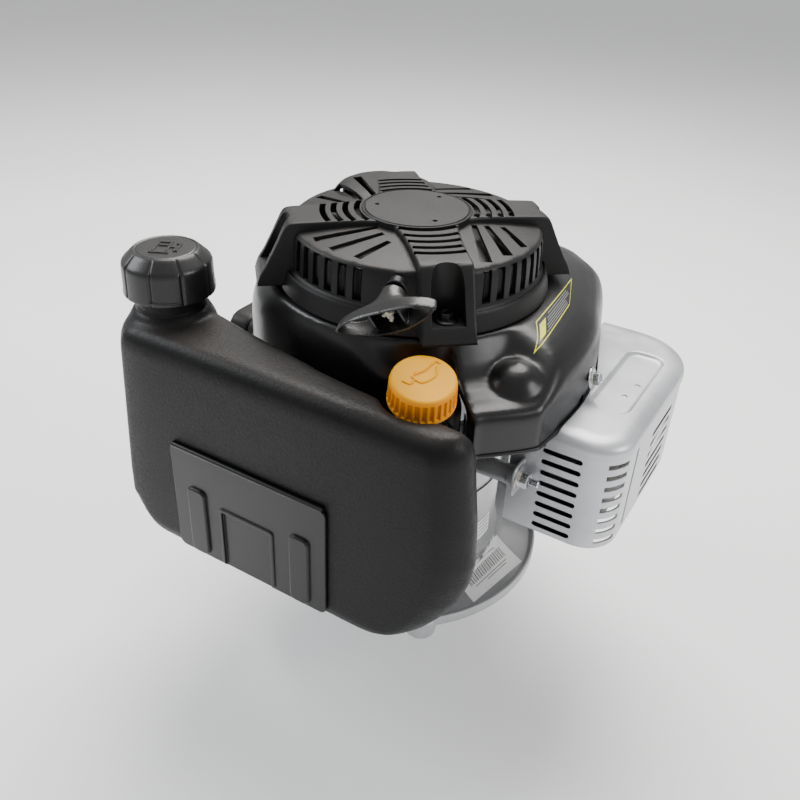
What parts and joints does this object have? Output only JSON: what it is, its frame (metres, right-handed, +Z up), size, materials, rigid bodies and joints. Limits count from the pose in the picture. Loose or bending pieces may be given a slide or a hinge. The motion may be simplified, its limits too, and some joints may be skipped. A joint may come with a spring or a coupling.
{
  "type": "small gasoline engine",
  "caption": "Vertical-shaft single-cylinder petrol engine with recoil start, side fuel tank, oil dipstick, air cleaner and guarded muffler.",
  "frame": {"origin": "crank axis at the plane of the four mounting feet's undersides", "axes": "+Z up along the crankshaft, +X the exhaust side, -Y the fuel tank side, +Y the cylinder head side"},
  "size_m": [0.3372, 0.321, 0.3615],
  "materials": {
    "cast_aluminium": "as cast, fine grain",
    "steel": "machined",
    "zinc": "bright zinc plate",
    "iron": "heat-stained sheet and castings",
    "black_paint": "gloss black paint",
    "black_plastic": "satin moulded",
    "tank_plastic": "blow-moulded, fine grain",
    "yellow_plastic": "moulded yellow",
    "silver_paint": "silver paint",
    "rubber": "moulded rubber",
    "gasket": "fibre gasket",
    "foam": "filter foam",
    "rope": "braided cord",
    "ceramic": "glazed insulator with plated body"
  },
  "bodies": {
    "engine": {"sump_cover": "cast_aluminium", "lower_oil_seal": "rubber", "drain_plug": "zinc", "sump_gasket": "gasket", "crankcase": "cast_aluminium", "head_gasket": "gasket", "cylinder_head": "cast_aluminium", "rocker_cover": "black_paint", "spark_plug": "ceramic", "plug_cap": "rubber", "upper_oil_seal": "rubber", "piston": "cast_aluminium", "piston_pin": "steel", "connecting_rod": "cast_aluminium", "ignition_coil": "black_plastic", "ignition_lead": "rubber", "blower_housing": "black_paint", "housing_bolt": "zinc", "starter_cover": "black_plastic", "cover_screw_1": "zinc", "cover_screw_2": "zinc", "cover_screw_3": "zinc", "cover_screw_4": "zinc", "recoil_spring": "steel", "reel_screw": "zinc", "rope_guide": "zinc", "fuel_tank": "tank_plastic", "tank_bracket": "black_paint", "oil_tube": "black_plastic", "muffler_guard": "silver_paint", "guard_bolt": "zinc", "exhaust_gasket": "gasket", "muffler": "iron", "intake_manifold": "black_plastic", "carburettor": "cast_aluminium", "control_plate": "zinc", "air_cleaner_base": "black_plastic", "air_filter": "foam", "air_cleaner_cover": "black_plastic", "fuel_hose": "rubber"},
    "crank": {"crankshaft": "steel", "flywheel": "cast_aluminium", "starter_cup": "zinc", "flywheel_nut": "zinc"},
    "cam": {"camshaft": "iron"},
    "reel": {"starter_reel": "black_plastic", "starter_rope": "rope"},
    "grip": {"recoil_grip": "black_plastic", "rope_end": "rope"},
    "fuel_cap_seat": {"cap_gasket": "rubber"},
    "fuel_cap": {"fuel_cap": "black_plastic"},
    "oil_cap_seat": {"oil_cap_seal": "rubber"},
    "dipstick": {"dipstick": "yellow_plastic"},
    "throttle": {"throttle_lever": "zinc"},
    "choke": {"choke_lever": "zinc"},
    "governor": {"governor_arm": "zinc", "governor_spring": "steel"},
    "governor_link": {"governor_link": "steel"},
    "control": {"control_lever": "black_paint"},
    "air_knob": {"air_cleaner_knob": "black_plastic"}
  },
  "joints": [
    {"name": "crank_spin", "type": "hinge", "parent": "engine", "child": "crank", "pos_m": [0, 0, 0], "axis": [0, 0, 1], "continuous": true},
    {"name": "cam_spin", "type": "hinge", "parent": "engine", "child": "cam", "pos_m": [-0.0543, 0, 0], "axis": [0, 0, 1], "continuous": true},
    {"name": "grip_pull", "type": "slide", "parent": "engine", "child": "grip", "axis": [0.3304, -0.9012, -0.2804], "range_m": [0, 0.5], "stiffness_N_per_m": 30, "springref_m": -0.2},
    {"name": "reel_turn", "type": "hinge", "parent": "engine", "child": "reel", "pos_m": [0, 0, 0.248], "axis": [0, 0, 1], "range_deg": [0, 720]},
    {"name": "fuel_cap_lift", "type": "slide", "parent": "engine", "child": "fuel_cap_seat", "axis": [0, 0, 1], "range_m": [0, 0.06]},
    {"name": "fuel_cap_turn", "type": "hinge", "parent": "fuel_cap_seat", "child": "fuel_cap", "pos_m": [-0.125, -0.102, 0.232], "axis": [0, 0, 1], "range_deg": [0, 120]},
    {"name": "dipstick_lift", "type": "slide", "parent": "engine", "child": "oil_cap_seat", "axis": [0.1521, -0.2291, 0.9614], "range_m": [0, 0.012]},
    {"name": "dipstick_turn", "type": "hinge", "parent": "oil_cap_seat", "child": "dipstick", "pos_m": [0.066, -0.1, 0.208], "axis": [0.1521, -0.2291, 0.9614], "range_deg": [0, 180]},
    {"name": "governor_turn", "type": "hinge", "parent": "engine", "child": "governor", "pos_m": [-0.058, 0.034, 0.155], "axis": [0, 0, 1], "range_deg": [-12, 12]},
    {"name": "link_turn", "type": "hinge", "parent": "governor", "child": "governor_link", "pos_m": [-0.07359, 0.043, 0.158], "axis": [0, 0, 1], "range_deg": [-15, 15]},
    {"name": "throttle_turn", "type": "hinge", "parent": "engine", "child": "throttle", "pos_m": [-0.084, 0.092, 0.155], "axis": [0, 0, 1], "range_deg": [-15, 15]},
    {"name": "choke_turn", "type": "hinge", "parent": "engine", "child": "choke", "pos_m": [-0.084, 0.076, 0.115], "axis": [0, 0, 1], "range_deg": [0, 70]},
    {"name": "control_turn", "type": "hinge", "parent": "engine", "child": "control", "pos_m": [-0.084, -0.024, 0.155], "axis": [0, 0, 1], "range_deg": [-20, 20]},
    {"name": "air_knob_turn", "type": "hinge", "parent": "engine", "child": "air_knob", "pos_m": [-0.152, 0.034, 0.128], "axis": [-1, 0, 0], "range_deg": [0, 360]}
  ],
  "couplings": [
    {"joint": "cam_spin", "follows": "crank_spin", "ratio": -0.5},
    {"joint": "reel_turn", "follows": "grip_pull", "rad_per_m": 24.4},
    {"joint": "throttle_turn", "follows": "governor_turn", "ratio": 1},
    {"joint": "link_turn", "follows": "governor_turn", "ratio": -1}
  ]
}
